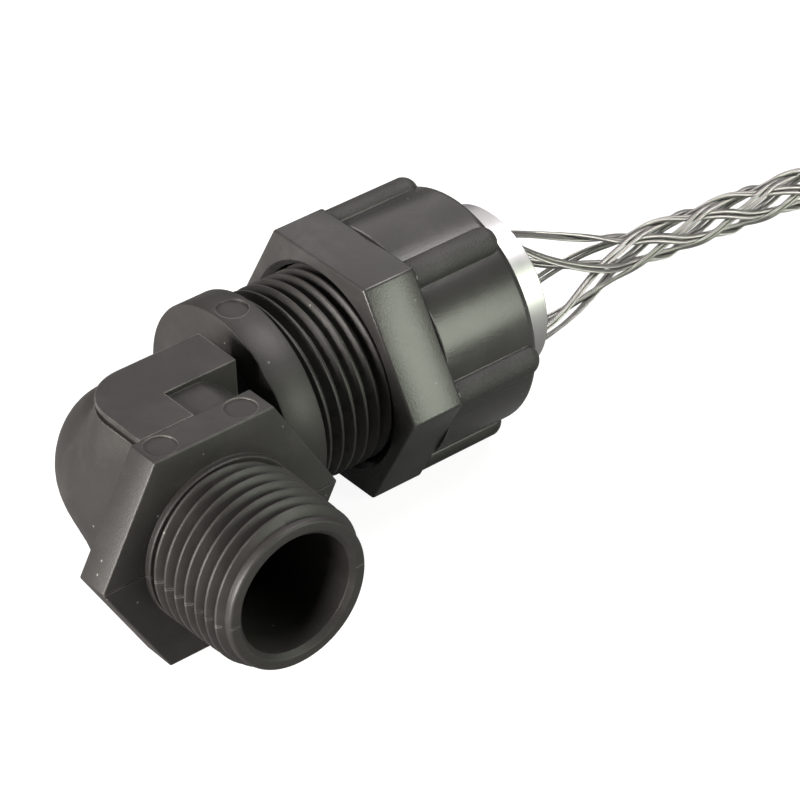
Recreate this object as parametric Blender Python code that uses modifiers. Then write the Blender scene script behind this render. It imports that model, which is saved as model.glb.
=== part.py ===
"""Right-angle cord grip for a flexible cord that leaves a box at 90 degrees.

A moulded nylon elbow has a tapered male thread for the box and a straight gland thread for the
nut. The nut draws an aluminium ring, with its woven wire grip, towards a rubber bushing in the
gland. Everything is first modelled about the point where the two bores cross: +X runs out
through the nut, -Y out of the tapered thread and +Z up. One empty then stands the grip on the
floor, centred on its footprint. All sizes are in metres and radians.
"""
import bmesh
import bpy
from math import atan, ceil, cos, exp, pi, radians, sin, sqrt, tan
from mathutils import Matrix, Vector

# Clearances
SEAT_GAP = 0.0003           # between pieces that touch
THREAD_CLEARANCE = 0.0003   # between the gland thread's crests and the nut's wall
FLANGE_CLEARANCE = 0.00085  # round the ring's flange inside the nut
OVERLAP = 0.001             # how far joined shapes and cutters run past a face
BAKE_WELD = 2e-6            # points nearer than this become one after a Boolean

# Both threads, with flanks cut to a narrow crest
THREAD_PITCH = 0.001814     # 14 turns an inch
THREAD_DEPTH = 0.00115
THREAD_CREST = 0.16         # share of the pitch that is crest
THREAD_STEPS = 24
THREAD_RUNOUT = 0.0005      # from the end of the thread to the end of its rim
THREAD_RIM = 0.00015        # how far the plain rim at a thread's end lies under its roots
THREAD_END_DEPTH = 0.0015   # how far a thread's end is cut below its crests
THREAD_END_ANGLE = radians(35)

# Bore
BORE_RADIUS = 0.00755
BORE_EDGE = 0.0006
ROUND_STEPS = 40

# Elbow
NECK_WALL = 0.00135
BEND_RADIUS = 0.0029        # of the centre line round the corner
BEND_STEPS = 7
HEX_FLATS = 0.0286
HEX_BACK = 0.01497          # from the gland axis to the hexagon's back face
HEX_LENGTH = 0.00465
HEX_EDGE = 0.0003
ENTRY_WALL = 0.00197        # under the tapered thread, at the hexagon
ENTRY_LENGTH = 0.01428
ENTRY_TAPER = 1 / 32        # fall in radius for each unit of length
ENTRY_SHOULDER = 0.0008     # plain band between the hexagon and the tapered thread
WEB_LEFT = 0.0070           # from the entry axis to the web's rounded side
WEB_GAP = 0.00383           # from the web to the collar
WEB_BACK = 0.0021           # from the gland axis, towards the hexagon
WEB_CORNER = 0.0060
WEB_LIP = 0.0005
WEB_GROOVE = 0.0009
WEB_GROOVE_DEPTH = 0.0004
POCKET_LEFT = 0.0005
POCKET_WIDTH = 0.0057
POCKET_DEPTH = 0.0007
COLLAR_FACE = 0.01443       # from the entry axis to the collar
COLLAR_LENGTH = 0.00516
COLLAR_LIP = 0.00139        # the collar's rise over the gland thread
COLLAR_EDGE = 0.0003
GLAND_WALL = 0.0020         # under the gland thread, round the grommet's seat
GLAND_LENGTH = 0.0184

# Sealing grommet
GROMMET_STEP = 0.0018       # the seat's rise over the bore
GROMMET_LENGTH = 0.0132
GROMMET_BORE = 0.00465
GROMMET_PROUD = 0.0016      # stands out of the gland
GROMMET_CHAMFER = 0.0009

# Compression nut
NUT_TRAVEL = 0.00236        # from the washer to the grommet, as the nut is threaded on
NUT_ENGAGEMENT = 0.00836    # length of gland thread inside the nut
NUT_WALL = 0.00228          # under the nut's flats
NUT_HEX_LENGTH = 0.00751
NUT_EDGE = 0.0006
NUT_BORE_CHAMFER = 0.0008
BARREL_WALL = 0.00255
BARREL_EDGE = 0.0012
SHOULDER_THICKNESS = 0.0058
RIB_COUNT = 6
RIB_HEIGHT = 0.0011
RIB_WIDTH = 0.0058
RIB_END = 0.00071           # from a rib's end to the nut's mouth

# Slip washer
WASHER_THICKNESS = 0.0010
WASHER_HOLE_RADIUS = 0.0078

# Mesh ring
RING_WALL = 0.0008
RING_PROUD = 0.00529        # stands out of the nut
RING_FLANGE = 0.0013        # thickness of the flange behind the nut's shoulder
RING_FLANGE_LIP = 0.0012    # how far the flange stands out of the ring

# Wire mesh grip
ROPE_PAIRS = 4              # laid each way
ROPE_DIAMETER = 0.00058
PAIR_WIDTH = 0.00118
MESH_RADIUS = 0.0021        # mean radius of the closed grip
MESH_LIFT = 0.00019         # half the step between ropes where they cross
MESH_PITCH = 0.0456         # one turn of a rope pair
MESH_REACH = 0.0942         # from the ring to the far end
MESH_TAIL = 0.0070          # held inside the ring
MESH_START = radians(50)    # turn of the ropes at the ring, from the first crossing
MESH_PHASE = radians(67.5)  # where the first pair of each hand starts
MESH_SAG = 0.0034           # drop of the centre line soon after the ring
MESH_SAG_LENGTH = 0.0080
MESH_DROOP_POWER = 1.35
MESH_STEPS = 3              # for each crossing
MESH_LONGEST_STEP = 0.0042
CONE_LENGTH = 0.0240
CONE_START = 0.0006         # back inside the ring's rim, where the straight tail ends
CONE_POWER = 1.7
CONE_BULGE = 0.6
WEAVE_LENGTH = 0.0062       # over which the ropes take up their over and under

# Worked out from the sizes above
NECK_RADIUS = BORE_RADIUS + NECK_WALL
HEX_FRONT = HEX_BACK + HEX_LENGTH
ENTRY_RADIUS = BORE_RADIUS + ENTRY_WALL + THREAD_DEPTH
ENTRY_END = HEX_FRONT + ENTRY_LENGTH
WEB_RIGHT = COLLAR_FACE - WEB_GAP
SEAT_RADIUS = BORE_RADIUS + GROMMET_STEP
GROMMET_RADIUS = SEAT_RADIUS - SEAT_GAP
GLAND_RADIUS = SEAT_RADIUS + GLAND_WALL + THREAD_DEPTH
GLAND_START = COLLAR_FACE + COLLAR_LENGTH
GLAND_END = GLAND_START + GLAND_LENGTH
COLLAR_RADIUS = GLAND_RADIUS + COLLAR_LIP
GROMMET_END = GLAND_END + GROMMET_PROUD
GROMMET_BACK = GROMMET_END - GROMMET_LENGTH
WASHER_FACE = GROMMET_END + NUT_TRAVEL
FLANGE_BACK = WASHER_FACE + WASHER_THICKNESS + SEAT_GAP
FLANGE_FRONT = FLANGE_BACK + RING_FLANGE
SHOULDER = FLANGE_FRONT + SEAT_GAP
NUT_END = SHOULDER + SHOULDER_THICKNESS
NUT_FACE = GLAND_END - NUT_ENGAGEMENT
NUT_HEX_FRONT = NUT_FACE + NUT_HEX_LENGTH
NUT_BORE_RADIUS = GLAND_RADIUS + THREAD_CLEARANCE
NUT_FLATS = 2 * (NUT_BORE_RADIUS + NUT_WALL)
BARREL_RADIUS = NUT_BORE_RADIUS + BARREL_WALL
FLANGE_RADIUS = NUT_BORE_RADIUS - FLANGE_CLEARANCE
RING_RADIUS = FLANGE_RADIUS - RING_FLANGE_LIP
MOUTH_RADIUS = RING_RADIUS + SEAT_GAP
RING_END = NUT_END + RING_PROUD
MESH_MOUTH_RADIUS = RING_RADIUS - RING_WALL - SEAT_GAP - ROPE_DIAMETER / 2
MESH_SPREAD = 2 * pi * MESH_RADIUS / MESH_PITCH
MESH_DROP = BARREL_RADIUS - MESH_RADIUS - ROPE_DIAMETER / 2 - MESH_LIFT

PARTS = bpy.data.collections.new("right_angle_cord_grip")
TOOLS = bpy.data.collections.new("cutters")

ALONG_X = Matrix.Rotation(pi / 2, 4, "Y")
ALONG_MINUS_Y = Matrix.Rotation(pi / 2, 4, "X")


def clear_scene():
    for obj in list(bpy.data.objects):
        bpy.data.objects.remove(obj, do_unlink=True)
    for collection in (PARTS, TOOLS):
        bpy.context.scene.collection.children.link(collection)


def material(name, color, roughness, metallic):
    made = bpy.data.materials.new(name)
    made.use_nodes = True
    shader = made.node_tree.nodes["Principled BSDF"]
    shader.inputs["Base Color"].default_value = (*color, 1)
    shader.inputs["Roughness"].default_value = roughness
    shader.inputs["Metallic"].default_value = metallic
    return made


def tool(name, mesh, place=Matrix.Identity(4)):
    """An object that cuts or joins, placed in the hidden collection."""
    obj = bpy.data.objects.new(name, mesh)
    obj.matrix_world = place
    obj.display_type = "WIRE"
    obj.hide_render = True
    TOOLS.objects.link(obj)
    return obj


def mesh_from(bm, name):
    bmesh.ops.remove_doubles(bm, verts=bm.verts[:], dist=1e-6)
    bmesh.ops.recalc_face_normals(bm, faces=bm.faces[:])
    mesh = bpy.data.meshes.new(name)
    bm.to_mesh(mesh)
    bm.free()
    return mesh


def turned(name, profile, place, closed=False, steps=ROUND_STEPS):
    """A turned shape about its own Z: the profile of (radius, height) runs down the outside."""
    count = len(profile)
    edges = [(i, i + 1) for i in range(count - 1)]
    if closed:
        edges.append((count - 1, 0))
    mesh = bpy.data.meshes.new(name)
    mesh.from_pydata([(radius, 0, height) for radius, height in profile], edges, [])
    obj = tool(name, mesh, place)
    screw = obj.modifiers.new("turn", "SCREW")
    screw.axis = "Z"
    screw.steps = screw.render_steps = steps
    screw.use_merge_vertices = True
    screw.merge_threshold = 1e-6
    return obj


def rod(name, radius, low, high, place, edge=0.0, steps=ROUND_STEPS):
    """A plain round bar between two heights, with chamfered ends where an edge is given."""
    profile = [(0, high), (radius - edge, high), (radius, high - edge),
               (radius, low + edge), (radius - edge, low), (0, low)]
    if not edge:
        profile = [(0, high), (radius, high), (radius, low), (0, low)]
    return turned(name, profile, place, steps=steps)


def hexagon(name, flats, low, high, place, edge):
    """A hexagonal bar about its own Z, with flats across its X."""
    bm = bmesh.new()
    bmesh.ops.create_cone(bm, cap_ends=True, segments=6, radius1=flats / sqrt(3),
                          radius2=flats / sqrt(3), depth=high - low)
    bmesh.ops.translate(bm, verts=bm.verts[:], vec=(0, 0, (low + high) / 2))
    bmesh.ops.bevel(bm, geom=bm.edges[:], offset=edge, segments=1, affect="EDGES")
    return tool(name, mesh_from(bm, name), place)


def block(name, low, high, corner=0.0, steps=6):
    """A box between two corners, whose upright edge at its least X and most Y may be rounded."""
    bm = bmesh.new()
    bmesh.ops.create_cube(bm, size=1)
    size = Vector(high) - Vector(low)
    bmesh.ops.scale(bm, verts=bm.verts[:], vec=size)
    bmesh.ops.translate(bm, verts=bm.verts[:], vec=(Vector(high) + Vector(low)) / 2)
    if corner:
        upright = [edge for edge in bm.edges
                   if all(abs(v.co.x - low[0]) < 1e-6 and abs(v.co.y - high[1]) < 1e-6
                          for v in edge.verts)]
        bmesh.ops.bevel(bm, geom=upright, offset=corner, segments=steps, profile=0.5,
                        affect="EDGES")
    return tool(name, mesh_from(bm, name))


def boolean(target, operation, *others):
    for other in others:
        step = target.modifiers.new(other.name, "BOOLEAN")
        step.operation = operation
        step.solver = "EXACT"
        step.object = other


def fill_holes(bm):
    bmesh.ops.holes_fill(bm, edges=[edge for edge in bm.edges if edge.is_boundary], sides=0)


def bake(obj):
    """Turns an object's evaluated shape into its own mesh, closed where a Boolean drops a face."""
    bpy.context.view_layer.update()
    graph = bpy.context.evaluated_depsgraph_get()
    bm = bmesh.new()
    bm.from_mesh(bpy.data.meshes.new_from_object(obj.evaluated_get(graph)))
    bmesh.ops.remove_doubles(bm, verts=bm.verts[:], dist=BAKE_WELD)
    fill_holes(bm)
    obj.modifiers.clear()
    obj.data = mesh_from(bm, obj.name)
    return obj


def finished(obj, name, finish):
    """Bakes a shape and moves it to the parts, with its own material and smooth round faces."""
    bake(obj)
    obj.data.transform(obj.matrix_world)
    obj.matrix_world = Matrix.Identity(4)
    obj.name = obj.data.name = name
    obj.data.materials.clear()
    obj.data.materials.append(finish)
    obj.data.shade_smooth()
    obj.data.set_sharp_from_angle(angle=radians(32))
    obj.display_type = "TEXTURED"
    obj.hide_render = False
    TOOLS.objects.unlink(obj)
    PARTS.objects.link(obj)
    return obj


def close_end(bm, height, upper):
    """Closes one ragged end of a threaded tube with a fan to a point on its axis."""
    rims = [edge for edge in bm.edges if edge.is_boundary]
    middle = sum(v.co.z for edge in rims for v in edge.verts) / (2 * len(rims))
    rim = [edge for edge in rims
           if (min(v.co.z for v in edge.verts) > middle) == upper]
    pulled = bmesh.ops.extrude_edge_only(bm, edges=rim)["geom"]
    points = [item for item in pulled if isinstance(item, bmesh.types.BMVert)]
    bmesh.ops.pointmerge(bm, verts=points, merge_co=(0, 0, height))


def threaded_rod(name, radius, low, high, place, taper=0.0, shoulder=0.0):
    """A right-hand thread about Z: a sheared sheet rolled up, closed and trimmed, with a plain rim."""
    phases = (0.0, THREAD_CREST, (1 + THREAD_CREST) / 2)
    turns = ceil((high - low) / THREAD_PITCH) + 2
    rows = turns * len(phases)
    bottom = low - 1.5 * THREAD_PITCH
    bm = bmesh.new()
    bmesh.ops.create_grid(bm, x_segments=THREAD_STEPS, y_segments=rows, size=0.5)
    for vert in bm.verts:
        around = vert.co.x + 0.5
        row = round((vert.co.y + 0.5) * rows)
        turn, phase = divmod(row, len(phases))
        height = bottom + THREAD_PITCH * (turn + phases[phase] + around)
        root = THREAD_DEPTH if phase == len(phases) - 1 else 0.0
        reach = radius - root - taper * (height - low)
        vert.co = (reach * cos(2 * pi * around), reach * sin(2 * pi * around), height)
    bmesh.ops.remove_doubles(bm, verts=bm.verts[:], dist=1e-6)
    close_end(bm, bottom - THREAD_PITCH, False)
    close_end(bm, bottom + THREAD_PITCH * (turns + 2), True)
    thread = tool(name, mesh_from(bm, name), place)
    tip = radius - taper * (high - low)
    wide = radius + THREAD_PITCH
    core = tip - THREAD_END_DEPTH
    end = high - THREAD_RUNOUT
    off_steps, off_both = (place @ Matrix.Rotation(share * pi / THREAD_STEPS, 4, "Z")
                           for share in (1 / 3, 2 / 3))
    envelope = turned(name + "_envelope",
                      [(0, end), (core, end), (wide, end - (wide - core) * tan(THREAD_END_ANGLE)),
                       (wide, low), (0, low)], off_steps, steps=2 * THREAD_STEPS)
    boolean(thread, "INTERSECT", envelope)
    bake(thread)
    boolean(thread, "UNION", rod(name + "_rim", tip - THREAD_DEPTH - THREAD_RIM,
                                 high - THREAD_PITCH, high, off_both, steps=2 * THREAD_STEPS))
    if shoulder:
        boolean(thread, "UNION", rod(name + "_shoulder", radius, low + OVERLAP / 2,
                                     low + OVERLAP + shoulder, off_both, steps=2 * THREAD_STEPS))
    return bake(thread)


def elbow_tube(name, radius, entry_end, gland_end):
    """A round bar that turns the corner: rings down both legs, mitred on the inner side."""
    rows = BEND_STEPS + 2
    bm = bmesh.new()
    bmesh.ops.create_grid(bm, x_segments=ROUND_STEPS, y_segments=rows, size=0.5)
    for vert in bm.verts:
        angle = 2 * pi * (vert.co.x + 0.5) + pi / ROUND_STEPS
        across = radius * cos(angle)
        row = round((vert.co.y + 0.5) * rows)
        turn = pi / 2 * (min(max(row, 1), rows - 1) - 1) / BEND_STEPS
        reach = max(BEND_RADIUS + across, 0)
        inner = max(BEND_RADIUS, -across)
        x = inner - reach * cos(turn)
        y = reach * sin(turn) - inner
        if row == 0:
            y = -entry_end
        if row == rows:
            x = gland_end
        vert.co = (x, y, radius * sin(angle))
    bmesh.ops.remove_doubles(bm, verts=bm.verts[:], dist=1e-6)
    fill_holes(bm)
    return tool(name, mesh_from(bm, name))


def make_web(inside_hex):
    """The flat-topped web behind the hexagon, with a groove under the edge of each flat."""
    top = HEX_FLATS / 2
    web = block("web", (-WEB_LEFT, inside_hex, -top), (WEB_RIGHT, -WEB_BACK, top), WEB_CORNER)
    grooves = []
    for side in (-1, 1):
        low, high = sorted(side * (top - WEB_LIP - depth) for depth in (0, WEB_GROOVE))
        groove = block("groove", (-WEB_LEFT - OVERLAP, -HEX_BACK, low),
                       (WEB_RIGHT + OVERLAP, -WEB_BACK + OVERLAP, high))
        core = block("groove_core", (-WEB_LEFT + WEB_GROOVE_DEPTH, inside_hex, low - OVERLAP),
                     (WEB_RIGHT + 2 * OVERLAP, -WEB_BACK - WEB_GROOVE_DEPTH, high + OVERLAP),
                     WEB_CORNER - WEB_GROOVE_DEPTH)
        boolean(groove, "DIFFERENCE", core)
        grooves.append(bake(groove))
    boolean(web, "DIFFERENCE", *grooves)
    return bake(web)


def make_elbow(finish):
    top = HEX_FLATS / 2
    inside_hex = HEX_BACK + OVERLAP
    body = elbow_tube("elbow_tube", NECK_RADIUS, inside_hex, COLLAR_FACE + OVERLAP)
    flats_up = ALONG_MINUS_Y @ Matrix.Rotation(pi / 2, 4, "Z")
    hexagon_bar = hexagon("entry_hexagon", HEX_FLATS, HEX_BACK, HEX_FRONT, flats_up, HEX_EDGE)
    collar = rod("collar", COLLAR_RADIUS, COLLAR_FACE, GLAND_START, ALONG_X, COLLAR_EDGE)
    entry = threaded_rod("entry_thread", ENTRY_RADIUS, HEX_FRONT - OVERLAP, ENTRY_END,
                         ALONG_MINUS_Y, ENTRY_TAPER, ENTRY_SHOULDER)
    gland = threaded_rod("gland_thread", GLAND_RADIUS, GLAND_START - OVERLAP, GLAND_END, ALONG_X)
    boolean(body, "UNION", make_web(-inside_hex), hexagon_bar, collar, entry, gland)
    pockets = [block("pocket", (POCKET_LEFT, -HEX_BACK, side * top - POCKET_DEPTH),
                     (WEB_RIGHT + OVERLAP, POCKET_WIDTH - HEX_BACK, side * top + POCKET_DEPTH))
               for side in (-1, 1)]
    bore = elbow_tube("bore", BORE_RADIUS, ENTRY_END + OVERLAP, GLAND_END + OVERLAP)
    flare_top, flare_foot = ENTRY_END + OVERLAP, ENTRY_END - BORE_EDGE - OVERLAP
    flare = turned("mouth_flare", [(0, flare_top), (BORE_RADIUS + BORE_EDGE + OVERLAP, flare_top),
                                   (BORE_RADIUS - OVERLAP, flare_foot), (0, flare_foot)],
                   ALONG_MINUS_Y)
    seat = rod("grommet_seat", SEAT_RADIUS, GROMMET_BACK - SEAT_GAP, GLAND_END + OVERLAP, ALONG_X)
    boolean(body, "DIFFERENCE", *pockets, bore, flare, seat)
    return finished(body, "elbow_body", finish)


def make_grommet(finish):
    """The rubber bushing: its back seats in the gland, its front stands out towards the washer."""
    edge = GROMMET_CHAMFER
    profile = [(GROMMET_BORE + edge, GROMMET_END), (GROMMET_RADIUS - edge, GROMMET_END),
               (GROMMET_RADIUS, GROMMET_END - edge), (GROMMET_RADIUS, GROMMET_BACK + edge),
               (GROMMET_RADIUS - edge, GROMMET_BACK), (GROMMET_BORE, GROMMET_BACK),
               (GROMMET_BORE, GROMMET_END - edge)]
    grommet = turned("grommet", profile, ALONG_X, closed=True, steps=32)
    return finished(grommet, "sealing_grommet", finish)


def barrel_rib(angle):
    """A rounded rib along the barrel: a sphere whose back half is drawn out to the hexagon."""
    round_end = RIB_WIDTH / 2
    end = NUT_END - RIB_END - round_end
    bm = bmesh.new()
    bmesh.ops.create_uvsphere(bm, u_segments=14, v_segments=8, radius=round_end)
    widest = SEAT_GAP / 100
    for vert in bm.verts:
        if vert.co.z < -widest:
            vert.co.z = NUT_HEX_FRONT - OVERLAP - end
        elif vert.co.z < widest:
            vert.co.z = NUT_HEX_FRONT - end
    bmesh.ops.scale(bm, verts=bm.verts[:], vec=(2 * RIB_HEIGHT / round_end, 1, 1))
    bmesh.ops.translate(bm, verts=bm.verts[:], vec=(BARREL_RADIUS - RIB_HEIGHT, 0, end))
    return tool("rib", mesh_from(bm, "rib"), ALONG_X @ Matrix.Rotation(angle, 4, "Z"))


def make_nut(finish):
    nut = hexagon("nut_hexagon", NUT_FLATS, NUT_FACE, NUT_HEX_FRONT, ALONG_X, NUT_EDGE)
    inside_hex, round_off = NUT_HEX_FRONT - OVERLAP, 0.3 * BARREL_EDGE
    barrel = turned("barrel", [(0, NUT_END), (BARREL_RADIUS - BARREL_EDGE, NUT_END),
                               (BARREL_RADIUS - round_off, NUT_END - round_off),
                               (BARREL_RADIUS, NUT_END - BARREL_EDGE),
                               (BARREL_RADIUS, inside_hex), (0, inside_hex)], ALONG_X)
    ribs = [barrel_rib(2 * pi * (i + 0.5) / RIB_COUNT) for i in range(RIB_COUNT)]
    boolean(nut, "UNION", barrel, *ribs)
    outside = NUT_FACE - OVERLAP
    thread_bore = turned("nut_bore", [(0, SHOULDER), (NUT_BORE_RADIUS, SHOULDER),
                                      (NUT_BORE_RADIUS, NUT_FACE + NUT_BORE_CHAMFER),
                                      (NUT_BORE_RADIUS + NUT_BORE_CHAMFER + OVERLAP, outside),
                                      (0, outside)], ALONG_X)
    mouth = rod("nut_mouth", MOUTH_RADIUS, SHOULDER - OVERLAP, NUT_END + OVERLAP, ALONG_X)
    boolean(nut, "DIFFERENCE", thread_bore, mouth)
    return finished(nut, "compression_nut", finish)


def make_washer(finish):
    back = WASHER_FACE + WASHER_THICKNESS
    profile = [(WASHER_HOLE_RADIUS, back), (FLANGE_RADIUS, back), (FLANGE_RADIUS, WASHER_FACE),
               (WASHER_HOLE_RADIUS, WASHER_FACE)]
    return finished(turned("washer", profile, ALONG_X, closed=True), "slip_washer", finish)


def make_ring(finish):
    """The drawn ring: a thin sleeve with a flange that the nut's shoulder pulls on."""
    inner = RING_RADIUS - RING_WALL
    profile = [(inner, RING_END), (RING_RADIUS, RING_END), (RING_RADIUS, FLANGE_FRONT),
               (FLANGE_RADIUS, FLANGE_FRONT), (FLANGE_RADIUS, FLANGE_BACK), (inner, FLANGE_BACK)]
    return finished(turned("ring", profile, ALONG_X, closed=True), "mesh_ring", finish)


def mesh_centre(reach):
    """The grip's centre line at a distance out from the ring: it droops to the floor."""
    out = max(reach, 0)
    sag = MESH_SAG * (1 - exp(-out / MESH_SAG_LENGTH))
    droop = (MESH_DROP - MESH_SAG) * (out / MESH_REACH) ** MESH_DROOP_POWER
    return Vector((RING_END + reach, 0, -sag - droop))


def mesh_radius(reach):
    """The mean radius: wide in the ring, then closing smoothly to the cord."""
    share = min(max(reach + CONE_START, 0) / CONE_LENGTH, 1)
    wider = (MESH_MOUTH_RADIUS - MESH_RADIUS) * (1 - share) ** CONE_POWER
    return MESH_RADIUS + wider * (1 + CONE_BULGE * share)


def mesh_turns():
    """Rows of (reach, turn) along one rope, from its tail in the ring to the far end."""
    crossing = pi / ROPE_PAIRS / MESH_STEPS
    rows = [(-MESH_TAIL, MESH_START)]
    reach, turn = -CONE_START, MESH_START
    while reach < MESH_REACH - MESH_LONGEST_STEP / 2:
        rows.append((reach, turn))
        gain = MESH_SPREAD / mesh_radius(reach)
        step = min(crossing / gain, MESH_LONGEST_STEP)
        reach += step
        turn += step * gain
    rows.append((MESH_REACH - ROPE_DIAMETER, turn))
    return rows


def rope_pair(index, hand):
    """Two ropes side by side as one ribbon, wound one way round the grip and woven."""
    rows = mesh_turns()
    bm = bmesh.new()
    bmesh.ops.create_grid(bm, x_segments=1, y_segments=len(rows) - 1, size=0.5)
    for vert in bm.verts:
        side = (1 if vert.co.x > 0 else -1) * PAIR_WIDTH / 2
        reach, turn = rows[round((vert.co.y + 0.5) * (len(rows) - 1))]
        radius = mesh_radius(reach)
        lean = atan(MESH_SPREAD) if reach > 0 else 0.0
        angle = MESH_PHASE + 2 * pi * index / ROPE_PAIRS + hand * turn + side * cos(lean) / radius
        weave = MESH_LIFT * min(max(reach, 0) / WEAVE_LENGTH, 1)
        radius += hand * weave * cos(ROPE_PAIRS * turn)
        along = reach - hand * side * sin(lean)
        vert.co = mesh_centre(along) + Vector((0, radius * cos(angle), radius * sin(angle)))
    pair = tool("rope_pair", mesh_from(bm, "rope_pair"))
    thicken = pair.modifiers.new("thickness", "SOLIDIFY")
    thicken.thickness = ROPE_DIAMETER
    thicken.offset = 0
    thicken.use_even_offset = True
    return bake(pair)


def make_mesh_grip(finish):
    pairs = [rope_pair(index, hand) for hand in (1, -1) for index in range(ROPE_PAIRS)]
    grip = pairs[0]
    boolean(grip, "UNION", *pairs[1:])
    return finished(grip, "wire_mesh_grip", finish)


def stand_on_floor(parts):
    """Parents the parts to an empty that puts the middle of their footprint at the origin."""
    corners = [vert.co for part in parts for vert in part.data.vertices]
    low = Vector(min(co[axis] for co in corners) for axis in range(3))
    high = Vector(max(co[axis] for co in corners) for axis in range(3))
    middle = (low + high) / 2
    stand = bpy.data.objects.new("bore_crossing", None)
    PARTS.objects.link(stand)
    for part in parts:
        part.parent = stand
    stand.location = (-middle.x, -middle.y, -low.z)


def main():
    clear_scene()
    nylon = material("glass_filled_nylon", (0.045, 0.043, 0.041), 0.55, 0.0)
    nut_nylon = material("polished_nylon", (0.012, 0.012, 0.012), 0.28, 0.0)
    rubber = material("grommet_rubber", (0.02, 0.02, 0.02), 0.75, 0.0)
    nylon_washer = material("washer_nylon", (0.75, 0.74, 0.70), 0.45, 0.0)
    aluminium = material("ring_aluminium", (0.86, 0.86, 0.87), 0.32, 1.0)
    steel = material("rope_steel", (0.55, 0.54, 0.52), 0.30, 1.0)
    parts = [make_elbow(nylon), make_grommet(rubber), make_nut(nut_nylon),
             make_washer(nylon_washer), make_ring(aluminium), make_mesh_grip(steel)]
    stand_on_floor(parts)


main()
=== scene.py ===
"""Looks of the right-angle cord grip: moulded nylon elbow and nut, aluminium ring, wire rope grip.

Every piece is modelled about the point where the elbow's two bores cross, with +X out through
the nut, -Y out of the tapered thread and +Z up, and is then set in the frame. Metres throughout.
"""
from math import atan, atan2, cos, pi, radians, sin, sqrt

import bpy
import numpy as np
from mathutils import Matrix, Vector


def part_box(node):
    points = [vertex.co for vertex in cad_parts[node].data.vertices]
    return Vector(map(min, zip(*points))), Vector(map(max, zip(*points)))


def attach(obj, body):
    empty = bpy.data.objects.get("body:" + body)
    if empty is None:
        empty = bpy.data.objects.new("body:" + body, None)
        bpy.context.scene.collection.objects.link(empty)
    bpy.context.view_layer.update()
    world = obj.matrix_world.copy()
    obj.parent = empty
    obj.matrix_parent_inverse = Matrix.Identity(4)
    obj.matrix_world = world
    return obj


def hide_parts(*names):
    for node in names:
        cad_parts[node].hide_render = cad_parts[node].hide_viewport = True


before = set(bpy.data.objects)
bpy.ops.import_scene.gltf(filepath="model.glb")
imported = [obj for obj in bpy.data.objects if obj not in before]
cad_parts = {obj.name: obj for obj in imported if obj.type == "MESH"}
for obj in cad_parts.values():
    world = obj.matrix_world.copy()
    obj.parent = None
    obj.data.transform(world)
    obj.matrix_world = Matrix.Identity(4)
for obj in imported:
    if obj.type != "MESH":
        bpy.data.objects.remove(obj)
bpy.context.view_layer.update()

PAST = 0.001                 # how far a cutter runs past a face, and a core runs into one

# Threads
PITCH = 0.001814
THREAD_DEPTH = 0.00115
THREAD_STEPS = 72
THREAD_FADE = 0.3            # share of a turn in which an end runs out
THREAD_STOP = 0.0011         # from a thread's last section to the end of its bar
RIDGE_FOOT = 0.47            # half the ridge's width at its foot, in pitches
RIDGE_TIP = 0.07             # half its width at its crest, in pitches
TIP_DROP = 0.12              # where the crest's rounding starts, as a share of the depth
TIP_SPREAD = 1.7             # the width there, as a share of the width at the crest
RIDGE_SINK = 0.35            # how far the ridge reaches into its bar, as a share of the depth
END_SINK = 0.3               # how far a run-out end lies below the bar, as a share of that

# Elbow
HEX_FLATS = 0.0286
HEX_BACK = 0.01497
HEX_FRONT = 0.01962
HEX_EDGE = 0.00018
EDGE_STEPS = 3
ENTRY_RADIUS = 0.01067
ENTRY_END = 0.0339
ENTRY_TAPER = 1 / 32
ENTRY_RIM = 0.0008
ENTRY_TAPERED = 0.0004       # what the taper has taken off the radius at the end
ENTRY_SLOPE = (0.0009, 0.0013)  # from the end to the top and the foot of the rim's slope
ENTRY_SHOULDER = 0.0008
SHOULDER_EDGE = 0.0001
SHOULDER_ROOT = 0.0006
LIP_EDGE = 0.0004
LIP_ARC = (0.5, 0.13)        # places of two points on the lip's rounding, as shares of it
NECK_RADIUS = 0.0089
NECK_SPREAD = 1.04           # height of the skin at the collar, as a share of the neck's radius
SWELL_STEPS = 22
SWELL_POWER = 2.5
ROUND_STEPS = 24
ROUND_START = 0.02           # radians from the skin's point to its round part
SKIN_ROWS = 12
SKIN_START = 0.002           # from the hexagon's back, and from the web's corner, to a row
SKIN_PROUD = 0.00002
BEND_RADIUS = 0.0029
BORE_RADIUS = 0.00755
WEB_LEFT = 0.0070
WEB_RIGHT = 0.0106
WEB_BACK = 0.0021
WEB_CORNER = 0.0060
WEB_CORNER_STEPS = 12
GROOVE_TOP = 0.0005
GROOVE_HEIGHT = 0.0009
GROOVE_DEPTH = 0.0005
GROOVE_PAST = (0.002, 0.004)  # how far the groove's cutter and its core run past the web
POCKET = (0.0005, 0.0057, 0.0007)  # left side, length along the bore and depth
POCKET_LEVEL = 0.45          # share of the pocket's width that is level
POCKET_BENDS = (0.45, 0.56, 0.67, 0.78, 0.89)
POCKET_FALL = 0.0115         # of the floor at a run of a whole width past the level part
POCKET_POWER = 1.5
COLLAR = (0.01443, 0.01959)
COLLAR_RADIUS = 0.01389
COLLAR_EDGE = 0.0003
GLAND_RADIUS = 0.0125
GLAND_START = 0.0002         # from the collar to the thread's first section
GLAND_END = 0.03799
GLAND_RIM = 0.0009
GLAND_SLOPE = (0.0009, 0.0012)
SEAT_RADIUS = 0.00935
SEAT_START = 0.02609
BEND_STEPS = 16
PIN_RADIUS = 0.00195         # ejector pin marks
PIN_DEPTH = 0.00018
PIN_RISE = 0.0005
PIN_STEPS = 40
PIN_MARKS_X = (-0.0058, 0.0053)
PIN_MARKS_Y = -0.01728
COLLAR_PIN_X = 0.0170
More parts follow.
